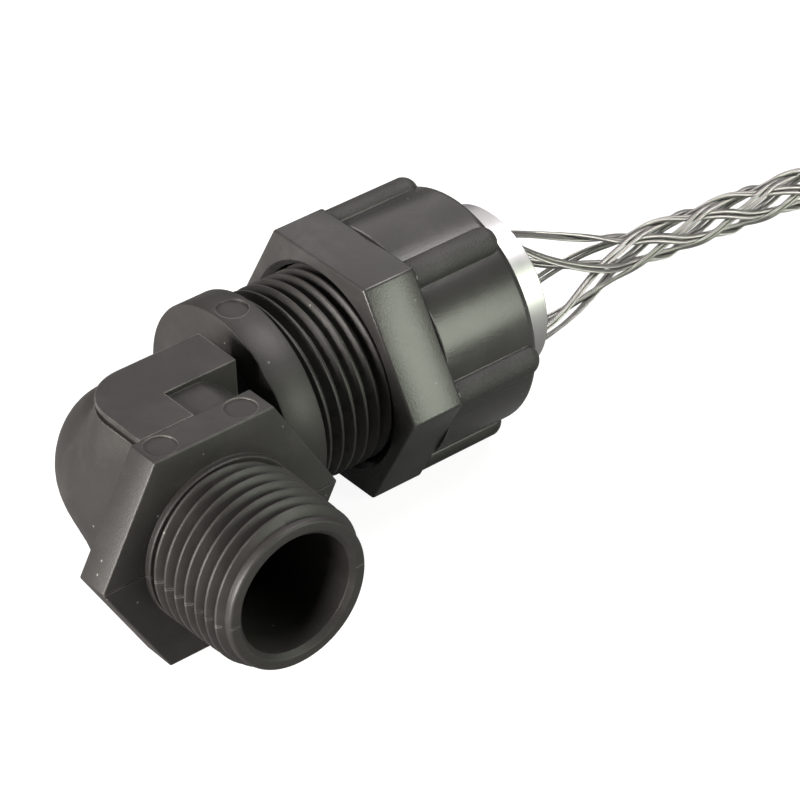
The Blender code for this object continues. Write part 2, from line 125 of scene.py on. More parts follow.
COLLAR_PIN_DROP = 0.00012    # below the top of the round collar
LINE_WIDTH = 0.00012         # parting line
LINE_DEPTH = 0.00015         # on the lip and on the hexagon's face
LINE_IN_THREAD = 0.0009      # below the crests
LINE_FROM_BORE = 0.0002
LINE_UNDER_THREAD = 0.0003
LINE_REACH = 0.018
FLARE = 0.0016               # rise and depth of the entry bore's flare

# Nut
NUT_FACE = 0.02963
NUT_FLATS = 0.03016
HEX_END = 0.03714
NUT_END = 0.05065
BARREL_RADIUS = 0.01535
BARREL_START = 0.00002       # how far the barrel runs over the hexagon's end
BARREL_FOOT = 0.0004         # from the hexagon's flats in to the barrel's foot
BARREL_EDGE = 0.0012
BARREL_EDGE_STEPS = 6
NUT_BORE_RADIUS = 0.0128
NUT_CHAMFER = (0.0018, 0.0008)  # its rise and depth
SHOULDER = 0.04485
MOUTH_RADIUS = 0.01105
MOUTH_CHAMFER = (0.0012, 0.0002)
RIB_COUNT = 6
RIB_HEIGHT = 0.0016
RIB_WIDTH = 0.0040
RIB_LENGTH = 0.0132
RIB_ROOT = 0.0004            # how far the middle of a rib's section lies below the barrel
RIB_STEPS = (32, 20)
NUT_EDGE = 0.0003

# Ring, washer and grommet
RING_RADIUS = 0.01075
RING_WALL = 0.0008
RING_END = 0.05594
RING_LIP = 0.0002
FLANGE = (0.04325, 0.04455)
FLANGE_RADIUS = 0.01195
WASHER = (0.04195, 0.04295)
WASHER_HOLE = 0.0078
GROMMET = (0.02639, 0.03959)
GROMMET_RADIUS = 0.00905
GROMMET_BORE = 0.00465
GROMMET_EDGE = 0.0009

# Wire mesh grip
PAIRS = 4
ROPE_DIAMETER = 0.00058
ROPE_SPACING = 0.0006
ROPE_CLEARANCE = 0.0003      # from a pair of ropes to the ring's wall
ROPE_SAMPLES = 1200
WIRES = 6
WIRE_RADIUS = ROPE_DIAMETER / 6
WIRE_WELD = 1e-7
LAY_LENGTH = 0.0026
LAY_POINTS = 10
LAY_SHIFT = 1.7              # radians from one pair's lay to the next
MESH_RADIUS = 0.0021
MESH_LIFT = 0.00029
MESH_PITCH = 0.0456
MESH_REACH = 0.0942
MESH_TAIL = 0.0070
MESH_START = radians(50)     # turn of the ropes at the ring, from their first crossing
MESH_PHASE = radians(67.5)
MESH_SAG = 0.0034            # drop of the centre line soon after the ring
SAG_LENGTH = 0.0080
MESH_DROP = 0.01265
DROOP_POWER = 1.35
CONE_LENGTH = 0.0240
CONE_START = 0.0006
CONE_POWER = 1.7
CONE_BELLY = 0.6
WEAVE_LENGTH = 0.0062
MESH_STRETCH = 0.0042        # of the outer half, so that the loops reach the end
LOOP_SPREAD = radians(22.5)  # half the angle between two ropes that a loop joins at the far end
LOOP_MARGIN = 3 * ROPE_DIAMETER
LOOP_POINTS = 24

# The crossing of the two bores in the frame
NUT_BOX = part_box("compression_nut")
CROSSING = Vector((NUT_BOX[0][0] - NUT_FACE, (NUT_BOX[0][1] + NUT_BOX[1][1]) / 2,
                   (NUT_BOX[0][2] + NUT_BOX[1][2]) / 2))

ALONG_X = Matrix.Rotation(pi / 2, 4, "Y")
ALONG_ENTRY = Matrix.Rotation(pi / 2, 4, "X")
OFF_STEP = Matrix.Rotation(radians(1.3), 4, "Z")  # sets a core's facets off its thread's steps
TURNED_STEPS = 96            # facets round a turned shape
WELD = 1e-6                  # points closer than this are one
ROUNDING = 0.3               # where a rounded edge's middle lies, as a share of its width
SHARP_FROM = radians(32)     # edges that turn more than this stay sharp


def deselect():
    bpy.ops.object.select_all(action="DESELECT")


def only(obj):
    deselect()
    obj.select_set(True)
    bpy.context.view_layer.objects.active = obj


def placed(obj, matrix):
    """Puts an object's place into its mesh, so that the object itself sits unturned."""
    obj.data.transform(matrix @ obj.matrix_world)
    obj.matrix_world = Matrix.Identity(4)
    return obj


def apply_all(obj):
    only(obj)
    for modifier in list(obj.modifiers):
        bpy.ops.object.modifier_apply(modifier=modifier.name)


def select_edges(obj, test):
    """Selects the edges whose two ends satisfy a test, for the next operator."""
    mesh = obj.data
    for item in (*mesh.vertices, *mesh.edges, *mesh.polygons):
        item.select = False
    for edge in mesh.edges:
        edge.select = test([mesh.vertices[i].co for i in edge.vertices])
    bpy.ops.object.mode_set(mode="EDIT")
    bpy.ops.mesh.select_mode(type="EDGE")


def close_up(obj):
    """Welds a mesh, fills its ends and turns its faces outwards."""
    only(obj)
    bpy.ops.object.mode_set(mode="EDIT")
    bpy.ops.mesh.select_all(action="SELECT")
    bpy.ops.mesh.remove_doubles(threshold=WELD)
    bpy.ops.mesh.fill_holes(sides=0)
    bpy.ops.mesh.normals_make_consistent(inside=False)
    bpy.ops.object.mode_set(mode="OBJECT")


def lathe(name, profile, steps=TURNED_STEPS, closed=False, matrix=ALONG_X):
    """A turned shape: a circle at the profile's first (radius, height), extruded ring by ring."""
    deselect()
    radius, height = profile[0]
    bpy.ops.mesh.primitive_circle_add(vertices=steps, radius=radius, location=(0, 0, height))
    obj = bpy.context.object
    obj.name = obj.data.name = name
    bpy.ops.object.transform_apply(location=True)
    bpy.ops.object.mode_set(mode="EDIT")
    bpy.ops.mesh.select_all(action="SELECT")
    if not closed:
        bpy.ops.mesh.edge_face_add()
    loop = profile[1:] + profile[:1] if closed else profile[1:]
    for next_radius, next_height in loop:
        bpy.ops.mesh.extrude_region_move(
            TRANSFORM_OT_translate={"value": (0, 0, next_height - height)})
        share = next_radius / radius
        bpy.ops.transform.resize(value=(share, share, 1), center_override=(0, 0, next_height))
        radius, height = next_radius, next_height
    bpy.ops.mesh.select_all(action="SELECT")
    bpy.ops.mesh.remove_doubles(threshold=WELD)
    bpy.ops.mesh.normals_make_consistent(inside=False)
    bpy.ops.object.mode_set(mode="OBJECT")
    return placed(obj, matrix)


def rounded(radius, low, high, edge):
    """Profile of a round bar from its top to its foot, with two-step rounded ends."""
    step = edge * ROUNDING
    return [(radius - edge, high), (radius - step, high - step), (radius, high - edge),
            (radius, low + edge), (radius - step, low + step), (radius - edge, low)]


def cube(name, low, high):
    deselect()
    low, high = Vector(low), Vector(high)
    bpy.ops.mesh.primitive_cube_add(size=1, location=(low + high) / 2)
    obj = bpy.context.object
    obj.name = obj.data.name = name
    obj.scale = high - low
    bpy.ops.object.transform_apply(location=True, scale=True)
    return obj


def bevel(obj, test, width, segments):
    """Rounds the edges that a test picks."""
    only(obj)
    select_edges(obj, test)
    bpy.ops.mesh.bevel(offset=width, segments=segments, profile=0.5, affect="EDGES")
    bpy.ops.object.mode_set(mode="OBJECT")


def corner_at(x, y):
    """A test for the upright edge of a block at x and y."""
    return lambda ends: all(abs(co.x - x) < WELD and abs(co.y - y) < WELD for co in ends)


def hexagon(name, flats, low, high, edge, matrix):
    deselect()
    bpy.ops.mesh.primitive_cylinder_add(vertices=6, radius=flats / sqrt(3), depth=high - low,
                                        location=(0, 0, (low + high) / 2))
    obj = bpy.context.object
    obj.name = obj.data.name = name
    bpy.ops.object.transform_apply(location=True)
    bevel(obj, lambda ends: True, edge, EDGE_STEPS)
    return placed(obj, matrix)


def boolean(target, operation, *others):
    """Joins other objects to a target, or cuts them out of it, and removes them."""
    for other in others:
        step = target.modifiers.new("joined", "BOOLEAN")
        step.operation = operation
        step.solver = "EXACT"
        step.object = other
        only(target)
        bpy.ops.object.modifier_apply(modifier=step.name)
        bpy.data.objects.remove(other, do_unlink=True)
    return target


def corner_tube(name, radius, entry_end, gland_end):
    """A round bar that turns the elbow's corner, mitred on its inner side: a grid rolled up."""
    deselect()
    rows = BEND_STEPS + 2
    bpy.ops.mesh.primitive_grid_add(x_subdivisions=TURNED_STEPS, y_subdivisions=rows, size=1)
    obj = bpy.context.object
    obj.name = obj.data.name = name
    for vert in obj.data.vertices:
        angle = 2 * pi * (vert.co.x + 0.5) + pi / TURNED_STEPS
        across = radius * cos(angle)
        row = round((vert.co.y + 0.5) * rows)
        turn = pi / 2 * (min(max(row, 1), rows - 1) - 1) / BEND_STEPS
        reach = max(BEND_RADIUS + across, 0)
        inner = max(BEND_RADIUS, -across)
        x = gland_end if row == rows else inner - reach * cos(turn)
        y = -entry_end if row == 0 else reach * sin(turn) - inner
        vert.co = (x, y, radius * sin(angle))
    close_up(obj)
    return obj


def thread_ridge(name, crest, low, high, matrix, taper=0.0):
    """A helical ridge whose ends run out into the bar: a section drawn and screwed up the axis."""
    depth = THREAD_DEPTH
    half_root, half_crest, sink = PITCH * RIDGE_FOOT, PITCH * RIDGE_TIP, depth * RIDGE_SINK
    section = [(-depth - sink, -half_root), (-depth, -half_root),
               (-depth * TIP_DROP, -half_crest * TIP_SPREAD), (0, -half_crest), (0, half_crest),
               (-depth * TIP_DROP, half_crest * TIP_SPREAD), (-depth, half_root),
               (-depth - sink, half_root)]
    count = len(section)
    steps = round(THREAD_STEPS * (high - low) / PITCH)
    deselect()
    bpy.ops.mesh.primitive_circle_add(vertices=count, radius=depth)
    obj = bpy.context.object
    obj.name = obj.data.name = name
    for vert, (rise, along) in zip(obj.data.vertices, section):
        vert.co = (crest + rise, 0, low + along)
    screw = obj.modifiers.new("helix", "SCREW")
    screw.axis = "Z"
    screw.angle = 2 * pi * steps / THREAD_STEPS
    screw.screw_offset = PITCH * steps / THREAD_STEPS
    screw.steps = screw.render_steps = steps
    screw.use_merge_vertices = False
    apply_all(obj)
    fade = THREAD_STEPS * THREAD_FADE
    for index, vert in enumerate(obj.data.vertices):
        at, corner = divmod(index, count)
        sunk = (depth + sink * END_SINK) * (1 - min(1, at / fade, (steps - at) / fade))
        rise, along = section[corner]
        rise = max(rise - sunk, -depth - sink)
        angle = 2 * pi * at / THREAD_STEPS
        height = low + along + PITCH * at / THREAD_STEPS
        reach = crest + rise - taper * (height - low)
        vert.co = (reach * cos(angle), reach * sin(angle), height)
    bpy.ops.object.mode_set(mode="EDIT")
    bpy.ops.mesh.select_all(action="SELECT")
    bpy.ops.mesh.fill_holes(sides=0)
    bpy.ops.mesh.normals_make_consistent(inside=False)
    bpy.ops.object.mode_set(mode="OBJECT")
    return placed(obj, matrix)


def shade(obj):
    only(obj)
    bpy.ops.object.shade_smooth_by_angle(angle=SHARP_FROM)


def dress(obj, finish, body, slot, *nodes):
    """Sets a piece in the frame, with its finish, body and the nodes it stands for; its slot is not
    used.
    """
    obj.data.transform(Matrix.Translation(CROSSING))
    obj.data.materials.clear()
    obj.data.materials.append(finish)
    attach(obj, body)
    if nodes:
        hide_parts(*nodes)


def plate_edge(turn):
    """How far the web's outline lies outside the bore's centre line, in the bend's own planes."""
    straight_to = atan2(BEND_RADIUS - WEB_BACK, BEND_RADIUS + WEB_LEFT - WEB_CORNER)
    if turn > straight_to:
        return (BEND_RADIUS - WEB_BACK) / sin(turn) - BEND_RADIUS
    arc = Vector((BEND_RADIUS + WEB_LEFT - WEB_CORNER, WEB_BACK + WEB_CORNER - BEND_RADIUS))
    toward = arc.y * sin(turn) - arc.x * cos(turn)
    return sqrt(toward ** 2 - arc.length_squared + WEB_CORNER ** 2) - toward - BEND_RADIUS


def skin_section(across, height):
    """Half a section of the elbow: round, but swelling smoothly to one point above."""
    far = sqrt(across ** 2 + height ** 2)
    edge = atan2(height, across)
    points = []
    for i in range(SWELL_STEPS + 1):
        radius = NECK_RADIUS + (far - NECK_RADIUS) * (i / SWELL_STEPS) ** SWELL_POWER
        points.append((radius * cos(edge * i / SWELL_STEPS), radius * sin(edge * i / SWELL_STEPS)))
    for i in range(ROUND_STEPS + 1):
        angle = edge + ROUND_START + (pi - edge - ROUND_START) * i / ROUND_STEPS
        points.append((NECK_RADIUS * cos(angle), NECK_RADIUS * sin(angle)))
    return points


def elbow_skin(name):
    """The round body of the elbow, which rises smoothly to the underside of the web's plates."""
    below = HEX_FLATS / 2 - GROOVE_TOP - GROOVE_HEIGHT
    corner = -WEB_BACK - WEB_CORNER
    straight = [-HEX_BACK - PAST, -HEX_BACK + SKIN_START, corner - SKIN_START]
    straight += [corner + (-BEND_RADIUS - corner) * i / SKIN_ROWS for i in range(SKIN_ROWS)]
    rings = []
    for y in straight:
        arc = sqrt(WEB_CORNER ** 2 - max(y - corner, 0) ** 2)
        rings.append((skin_section(WEB_LEFT - WEB_CORNER + arc + SKIN_PROUD, below), 0.0, y, None))
    for i in range(BEND_STEPS + 1):
        turn = pi / 2 * i / BEND_STEPS
        fall = max(turn / (pi / 2) - 0.5, 0) * 2
        height = below + (NECK_RADIUS * NECK_SPREAD - below) * fall
        rings.append((skin_section(plate_edge(turn), height), turn, None, None))
    rings.append((rings[-1][0], pi / 2, None, COLLAR[0] + PAST))
    half = len(rings[0][0]) - 1
    deselect()
    bpy.ops.mesh.primitive_grid_add(x_subdivisions=2 * half, y_subdivisions=len(rings) - 1, size=1)
    obj = bpy.context.object
    obj.name = obj.data.name = name
    for vert in obj.data.vertices:
        column = round((vert.co.x + 0.5) * 2 * half) - half
        section, turn, y, x = rings[round((vert.co.y + 0.5) * (len(rings) - 1))]
        across, height = section[abs(column)]
        reach = max(BEND_RADIUS + across, 0)
        inner = max(BEND_RADIUS, -across)
        vert.co = (inner - reach * cos(turn) if x is None else x,
                   reach * sin(turn) - inner if y is None else y,
                   height if column > 0 else -height)
    close_up(obj)
    return obj


def pocket_cutter(side):
    """The pocket beside the hexagon's flat: its floor falls away towards the collar."""
    top = HEX_FLATS / 2
    left, width, depth = POCKET
    pocket = cube("pocket", (left, -HEX_BACK, side * top - depth),
                  (WEB_RIGHT + PAST, width - HEX_BACK, side * top + depth))
    only(pocket)
    bpy.ops.object.mode_set(mode="EDIT")
    for share in POCKET_BENDS:
        bpy.ops.mesh.select_all(action="SELECT")
        bpy.ops.mesh.bisect(plane_co=(left + (WEB_RIGHT - left) * share, 0, 0), plane_no=(1, 0, 0))
    bpy.ops.object.mode_set(mode="OBJECT")
    for vert in pocket.data.vertices:
        if abs(vert.co.z) < top:
            run = max((vert.co.x - left) / (WEB_RIGHT - left) - POCKET_LEVEL, 0)
            vert.co.z -= side * POCKET_FALL * run ** POCKET_POWER
    return pocket


def pin_mark(place, turn):
    """The cutter for an ejector pin's shallow round mark."""
    return lathe("pin_mark", [(PIN_RADIUS, PIN_RISE), (PIN_RADIUS, -PIN_DEPTH)], steps=PIN_STEPS,
                 matrix=Matrix.Translation(place) @ turn)


def parting_lines():
    """Slim cuts where the mould's halves met, across the thread, the lip and the hexagon's face."""
    cuts = []
    for side in (-1, 1):
        for name, inner, outer, front, back in (
                ("thread_line", ENTRY_RADIUS - LINE_IN_THREAD, ENTRY_RADIUS + PAST,
                 -ENTRY_END - PAST, -HEX_FRONT - ENTRY_SHOULDER),
                ("lip_line", BORE_RADIUS + LINE_FROM_BORE, ENTRY_RADIUS + PAST,
                 -ENTRY_END - PAST, -ENTRY_END + LINE_DEPTH),
                ("face_line", ENTRY_RADIUS - LINE_UNDER_THREAD, LINE_REACH,
                 -HEX_FRONT - PAST, -HEX_FRONT + LINE_DEPTH)):
            low, high = sorted((side * inner, side * outer))
            cuts.append(cube(name, (low, front, -LINE_WIDTH / 2), (high, back, LINE_WIDTH / 2)))
    return cuts


def elbow_web():
    """The block whose top and bottom are the elbow's two plates, with a groove round each."""
    top = HEX_FLATS / 2
    web = cube("web", (-WEB_LEFT, -HEX_BACK, -top), (WEB_RIGHT, -WEB_BACK, top))
    bevel(web, corner_at(-WEB_LEFT, -WEB_BACK), WEB_CORNER, WEB_CORNER_STEPS)
    past, core_past = GROOVE_PAST
    for side in (-1, 1):
        low, high = sorted((side * (top - GROOVE_TOP), side * (top - GROOVE_TOP - GROOVE_HEIGHT)))
        groove = cube("groove", (-WEB_LEFT - past, -HEX_BACK, low),
                      (WEB_RIGHT + past, -WEB_BACK + past, high))
        core = cube("core", (-WEB_LEFT + GROOVE_DEPTH, -HEX_BACK - PAST, low - PAST),
                    (WEB_RIGHT + core_past, -WEB_BACK - GROOVE_DEPTH, high + PAST))
        bevel(core, corner_at(-WEB_LEFT + GROOVE_DEPTH, -WEB_BACK - GROOVE_DEPTH),
              WEB_CORNER - GROOVE_DEPTH, WEB_CORNER_STEPS)
        boolean(web, "DIFFERENCE", boolean(groove, "DIFFERENCE", core))
    return web


def entry_parts():
    """The tapered thread's bar with its rounded lip, its ridge and its plain shoulder."""
    lip = ENTRY_RADIUS - ENTRY_RIM - ENTRY_TAPERED
    root = ENTRY_RADIUS - THREAD_DEPTH
    more, less = (LIP_EDGE * share for share in LIP_ARC)
    core = lathe("entry_core", [(lip - LIP_EDGE, ENTRY_END),
                                (lip - more, ENTRY_END - less), (lip - less, ENTRY_END - more),
                                (lip, ENTRY_END - LIP_EDGE), (lip, ENTRY_END - ENTRY_SLOPE[0]),
                                (root - ENTRY_TAPERED, ENTRY_END - ENTRY_SLOPE[1]),
                                (root, HEX_FRONT - PAST)], matrix=ALONG_ENTRY @ OFF_STEP)
    ridge = thread_ridge("entry_thread", ENTRY_RADIUS, HEX_FRONT + ENTRY_SHOULDER,
                         ENTRY_END - THREAD_STOP, ALONG_ENTRY, ENTRY_TAPER)
    shoulder = lathe("entry_shoulder",
                     [(ENTRY_RADIUS - SHOULDER_EDGE, HEX_FRONT + ENTRY_SHOULDER),
                      (ENTRY_RADIUS, HEX_FRONT + ENTRY_SHOULDER - SHOULDER_EDGE),
                      (ENTRY_RADIUS, HEX_FRONT - SHOULDER_ROOT)],
                     matrix=ALONG_ENTRY @ OFF_STEP @ OFF_STEP)
    return core, ridge, shoulder


def gland_parts():
    """The gland thread's bar and its ridge."""
    rim, root = GLAND_RADIUS - GLAND_RIM, GLAND_RADIUS - THREAD_DEPTH
    core = lathe("gland_core", [(rim, GLAND_END), (rim, GLAND_END - GLAND_SLOPE[0]),
                                (root, GLAND_END - GLAND_SLOPE[1]), (root, COLLAR[1] - PAST)],
                 matrix=ALONG_X @ OFF_STEP)
    ridge = thread_ridge("gland_thread", GLAND_RADIUS, COLLAR[1] + GLAND_START,
                         GLAND_END - THREAD_STOP, ALONG_X)
    return core, ridge


def make_elbow(finish):
    top = HEX_FLATS / 2
    body = elbow_skin("moulded_elbow")
    web = elbow_web()
    hex_bar = hexagon("entry_hexagon", HEX_FLATS, HEX_BACK, HEX_FRONT, HEX_EDGE,
                      ALONG_ENTRY @ Matrix.Rotation(pi / 2, 4, "Z"))
    collar = lathe("collar", rounded(COLLAR_RADIUS, *COLLAR, COLLAR_EDGE))
    entry_core, entry, shoulder = entry_parts()
    boolean(body, "UNION", web, hex_bar, collar, entry_core, entry, *gland_parts(), shoulder)
    for side, way in ((1, Matrix.Identity(4)), (-1, Matrix.Rotation(pi, 4, "X"))):
        marks = [pin_mark((x, PIN_MARKS_Y, side * top), way) for x in PIN_MARKS_X]
        marks.append(pin_mark((COLLAR_PIN_X, 0, side * (COLLAR_RADIUS - COLLAR_PIN_DROP)), way))
        boolean(body, "DIFFERENCE", pocket_cutter(side), *marks)
    boolean(body, "DIFFERENCE", *parting_lines())
    bore = corner_tube("bore", BORE_RADIUS, ENTRY_END + PAST, GLAND_END + PAST)
    flare = lathe("flare", [(BORE_RADIUS + FLARE, ENTRY_END + PAST),
                            (BORE_RADIUS - PAST, ENTRY_END - FLARE)], matrix=ALONG_ENTRY)
    seat = lathe("seat", [(SEAT_RADIUS, GLAND_END + PAST), (SEAT_RADIUS, SEAT_START)])
    boolean(body, "DIFFERENCE", bore, flare, seat)
    shade(body)
    dress(body, finish, "elbow", "glass_filled_nylon", "elbow_body")


def barrel_rib(angle):
    """A rounded rib along the barrel, domed at its far end: a sphere drawn out and flattened."""
    deselect()
    bpy.ops.mesh.primitive_uv_sphere_add(segments=RIB_STEPS[0], ring_count=RIB_STEPS[1],
                                         radius=RIB_WIDTH / 2)
    obj = bpy.context.object
    obj.name = obj.data.name = "rib"
    run = RIB_LENGTH - RIB_WIDTH / 2
    for vert in obj.data.vertices:
        if vert.co.z < WELD:
            vert.co.z = -run if vert.co.z > -WELD else -run - PAST
        vert.co.x *= (RIB_HEIGHT + RIB_ROOT) / (RIB_WIDTH / 2)
    middle = Matrix.Translation((BARREL_RADIUS - RIB_ROOT, 0, HEX_END + run))
    return placed(obj, ALONG_X @ Matrix.Rotation(angle, 4, "Z") @ middle)


def make_nut(finish):
    nut = hexagon("gland_nut", NUT_FLATS, NUT_FACE, HEX_END, NUT_EDGE, ALONG_X)
    start, under = HEX_END - BARREL_START, NUT_FLATS / 2 - BARREL_FOOT
    turns = [pi / 2 * (1 - i / BARREL_EDGE_STEPS) for i in range(BARREL_EDGE_STEPS + 1)]
    barrel = lathe("barrel", [(BARREL_RADIUS - BARREL_EDGE * (1 - cos(turn)),
                               NUT_END - BARREL_EDGE * (1 - sin(turn))) for turn in turns]
                   + [(BARREL_RADIUS, start), (under, start), (under, HEX_END - PAST)])
    ribs = [barrel_rib(2 * pi * (i + 0.5) / RIB_COUNT) for i in range(RIB_COUNT)]
    boolean(nut, "UNION", barrel, *ribs)
    bore = lathe("nut_bore", [(NUT_BORE_RADIUS, SHOULDER),
                              (NUT_BORE_RADIUS, NUT_FACE + NUT_CHAMFER[1]),
                              (NUT_BORE_RADIUS + NUT_CHAMFER[0], NUT_FACE - PAST)])
    mouth = lathe("nut_mouth", [(MOUTH_RADIUS + MOUTH_CHAMFER[0], NUT_END + PAST),
                                (MOUTH_RADIUS, NUT_END - MOUTH_CHAMFER[1]),
                                (MOUTH_RADIUS, SHOULDER - PAST)])
    boolean(nut, "DIFFERENCE", bore, mouth)
    shade(nut)
    dress(nut, finish, "nut", "polished_nylon", "compression_nut")


def make_ring(finish):
    inner, lip = RING_RADIUS - RING_WALL, RING_LIP
    ring = lathe("drawn_ring", [(inner + lip, RING_END), (RING_RADIUS - lip, RING_END),
                                (RING_RADIUS, RING_END - lip), (RING_RADIUS, FLANGE[1]),
                                (FLANGE_RADIUS, FLANGE[1]), (FLANGE_RADIUS, FLANGE[0]),
                                (inner, FLANGE[0]), (inner, RING_END - lip)], closed=True)
    shade(ring)
    dress(ring, finish, "grip", "ring_aluminium", "mesh_ring")


def make_washer(finish):
    low, high = WASHER
    washer = lathe("nylon_washer", [(WASHER_HOLE, high), (FLANGE_RADIUS, high),
                                    (FLANGE_RADIUS, low), (WASHER_HOLE, low)], closed=True)
    shade(washer)
    dress(washer, finish, "grip", "washer_nylon", "slip_washer")


def make_grommet(finish):
    (low, high), edge = GROMMET, GROMMET_EDGE
    grommet = lathe("rubber_bushing", [
        (GROMMET_BORE + edge, high), (GROMMET_RADIUS - edge, high), (GROMMET_RADIUS, high - edge),
        (GROMMET_RADIUS, low + edge), (GROMMET_RADIUS - edge, low), (GROMMET_BORE, low),
        (GROMMET_BORE, high - edge)], closed=True)
    shade(grommet)
    dress(grommet, finish, "elbow", "grommet_rubber", "sealing_grommet")


def mesh_centre(reach):
    """The grip's centre line at distances out from the ring: it droops to the floor."""
    out = np.clip(reach, 0, None)
    drop = MESH_SAG * (1 - np.exp(-out / SAG_LENGTH))
    drop += (MESH_DROP - MESH_SAG) * (out / MESH_REACH) ** DROOP_POWER
    return np.stack([RING_END + reach, 0 * reach, -drop], axis=-1)


def mesh_radius(reach):
    """How far the ropes lie from the centre line: wide in the ring, and narrowing in a cone."""
    wide = RING_RADIUS - RING_WALL - ROPE_CLEARANCE - ROPE_DIAMETER / 2
    share = np.clip((reach + CONE_START) / CONE_LENGTH, 0, 1)
    spread = (wide - MESH_RADIUS) * (1 - share) ** CONE_POWER * (1 + CONE_BELLY * share)
    return MESH_RADIUS + spread


def rope_path(index, hand, side):
    """Points along one rope of a pair, out of the ring, round the grip and half round its loop."""
    reach = np.linspace(-MESH_TAIL, MESH_REACH, ROPE_SAMPLES)
    spread = 2 * pi * MESH_RADIUS / MESH_PITCH
    gain = np.where(reach > -CONE_START, spread / mesh_radius(reach), 0.0)
    gained = np.cumsum((gain[1:] + gain[:-1]) / 2 * np.diff(reach))
    turn = MESH_START + np.concatenate([[0], gained])
    lean = atan(spread)
    beyond = MESH_RADIUS * LOOP_SPREAD / cos(lean)
    reach = reach + MESH_STRETCH * np.clip(2 * reach / MESH_REACH - 1, 0, 1)
    longest = np.interp(MESH_REACH - LOOP_MARGIN - beyond * (1 + sin(lean)), reach, turn)
    last = int((longest - LOOP_SPREAD) / (2 * LOOP_SPREAD)) * 2 * LOOP_SPREAD + LOOP_SPREAD
    loop_reach = np.interp(last, turn, reach) + beyond * sin(lean)
    loop_radius = beyond + hand * side * ROPE_SPACING / 2
    kept = reach < loop_reach - loop_radius * sin(lean)
    reach, turn = reach[kept], turn[kept]
    radius = mesh_radius(reach)
    angle = hand * turn + side * ROPE_SPACING / 2 / cos(lean) / radius
    lift = MESH_LIFT * np.clip(reach / WEAVE_LENGTH, 0, 1)
    radius = radius + hand * lift * np.cos(PAIRS * turn)
    around = np.linspace(-lean, pi / 2, LOOP_POINTS)
    loop_angle = hand * (last - LOOP_SPREAD) + hand * loop_radius * np.cos(around) / MESH_RADIUS
    reach = np.concatenate([reach, loop_reach + loop_radius * np.sin(around)])
    angle = np.concatenate([angle, loop_angle]) + MESH_PHASE + 2 * pi * index / PAIRS
    radius = np.concatenate([radius, np.full(len(around), MESH_RADIUS)])
    points = mesh_centre(reach)
    points[:, 1] += radius * np.cos(angle)
    points[:, 2] += radius * np.sin(angle)
    return points


def even_points(points, spacing):
    """The same path with points at an even spacing, and how far along it each lies."""
    length = np.concatenate([[0], np.cumsum(np.linalg.norm(np.diff(points, axis=0), axis=1))])
    count = int(length[-1] / spacing)
    at = np.linspace(0, length[-1], count)
    return np.stack([np.interp(at, length, points[:, axis]) for axis in range(3)], axis=-1), at


def strand_paths(points, phase):
    """Paths of the wires that are laid round one rope's own path."""
    path, along = even_points(points, LAY_LENGTH / LAY_POINTS)
    ahead = np.gradient(path, axis=0)
    ahead /= np.linalg.norm(ahead, axis=1, keepdims=True)
    side = np.cross(ahead, (0, 0, 1.0))
    side /= np.linalg.norm(side, axis=1, keepdims=True)
    over = np.cross(side, ahead)
    for number in range(WIRES):
        angle = phase + 2 * pi * (along / LAY_LENGTH + number / WIRES)
        offset = side * np.cos(angle)[:, None] + over * np.sin(angle)[:, None]
        yield path + offset * (ROPE_DIAMETER / 2 - WIRE_RADIUS)


def wire_mesh(name, paths):
    """Round wires along some paths, turned from curves into one mesh."""
    curve = bpy.data.curves.new(name, "CURVE")
    curve.dimensions = "3D"
    curve.bevel_depth = WIRE_RADIUS
    curve.bevel_resolution = 1
    curve.use_fill_caps = True
    for points in paths:
        spline = curve.splines.new("POLY")
        spline.points.add(len(points) - 1)
        flat = np.ones((len(points), 4))
        flat[:, :3] = points
        spline.points.foreach_set("co", flat.ravel())
    obj = bpy.data.objects.new(name, curve)
    bpy.context.scene.collection.objects.link(obj)
    only(obj)
    bpy.ops.object.convert(target="MESH")
    obj = bpy.context.object
    bpy.ops.object.mode_set(mode="EDIT")
    bpy.ops.mesh.select_all(action="SELECT")
    bpy.ops.mesh.remove_doubles(threshold=WIRE_WELD)
    bpy.ops.object.mode_set(mode="OBJECT")
    bpy.ops.object.shade_smooth()
    return obj


def make_grip(finish):
    """Eight pairs of wire ropes, four laid each way; the CAD weave is hidden in their place."""
    made = []
    for hand, turn_name in ((1, "right"), (-1, "left")):
        for index in range(PAIRS):
            paths = []
            for side in (-1, 1):
                paths += strand_paths(rope_path(index, hand, side), LAY_SHIFT * index + side)
            made.append(wire_mesh(f"rope_pair_{turn_name}_{index + 1}", paths))
    for obj in made:
        dress(obj, finish, "grip", "rope_steel")
    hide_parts("wire_mesh_grip")


# Materials

GRAIN_DETAIL = 3
MOTTLE_SCALE = 260           # the scales of all patterns are in cycles a metre
MOTTLE_DETAIL = 4
MOTTLE_RANGE = (0.3, 0.7, 0.85, 1.2)  # of the noise, and the brightness that it becomes
SCUFF_SCALE = 130
SCUFF_DETAIL = 6
SCUFF_ROUGHNESS = 0.65
SCUFF_DISTORTION = 0.8
SCUFF_RANGE = (0.50, 0.72)
SPECK_SCALE = 560
SPECK_SIZE = (0.10, 0.05)    # from a cell's middle to where a speck starts and is whole
SPECKS_FROM = 0.72           # cells above this random value have a speck
SPECK_COLOR = (0.42, 0.40, 0.37, 1)
# Paler convex edges: partly rubbed wear, partly a painted highlight where the edges catch light
WEAR_AND_GLINT_REACH = 0.00028         # how far inwards an edge is looked for
WEAR_AND_GLINT_RAYS = 10
WEAR_AND_GLINT_RANGE = (0.84, 0.52)    # openness at which the wear and painted edge highlight starts and is whole
RUBBED_AND_LIT_RANGE = (0.40, 0.62, 0.2)  # of the mottling noise, and the least share of the wear and painted edge highlight
EDGE_ROUNDING = 0.0002       # of the shading normal at sharp edges
EDGE_RAYS = 6
GRAIN_STRENGTH = 0.6
GRAIN_DEPTH = 0.0001
RIB_ROUGHNESS = 0.55
RIB_GRAIN = 2.2
